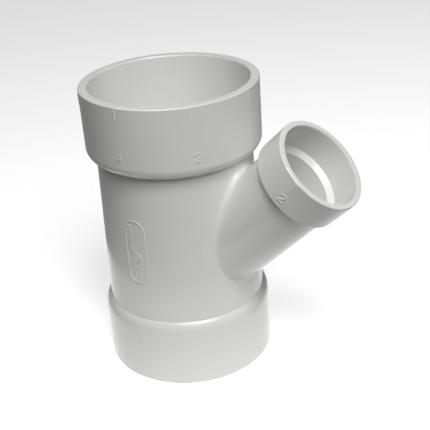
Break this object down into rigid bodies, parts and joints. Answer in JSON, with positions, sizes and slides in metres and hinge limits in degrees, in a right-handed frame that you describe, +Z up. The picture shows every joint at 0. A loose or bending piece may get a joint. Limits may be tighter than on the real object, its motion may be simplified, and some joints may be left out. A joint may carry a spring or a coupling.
{
  "type": "reducing wye pipe fitting",
  "caption": "White plastic reducing wye drain fitting: a straight run with a socket hub at each end and a smaller socket branch leaving at 45 degrees.",
  "frame": {"origin": "centre of the lower (outlet) hub's mouth, on the run axis", "axes": "+Z up the run axis towards the inlet hub, +X towards the side the branch leaves from, the XZ plane is the branch's plane"},
  "size_m": [0.2047, 0.1279, 0.2165],
  "materials": {
    "pvc_moulding": "smooth moulded, soft gloss",
    "pvc_marks": "raised moulded marks, soft gloss"
  },
  "bodies": {
    "root": {"inlet_hub": "pvc_moulding", "inlet_shoulder": "pvc_moulding", "run_barrel": "pvc_moulding", "branch_barrel": "pvc_moulding", "outlet_shoulder": "pvc_moulding", "outlet_hub": "pvc_moulding", "branch_shoulder": "pvc_moulding", "branch_hub": "pvc_moulding", "inlet_size_mark": "pvc_marks", "outlet_size_mark": "pvc_marks", "branch_size_mark": "pvc_marks", "inlet_second_mark": "pvc_marks", "inlet_alignment_ticks": "pvc_marks", "outlet_alignment_ticks": "pvc_marks", "branch_alignment_tick": "pvc_marks", "label_rim": "pvc_marks", "label_disc": "pvc_marks", "label_bars": "pvc_marks", "label_dots": "pvc_marks"}
  },
  "joints": []
}
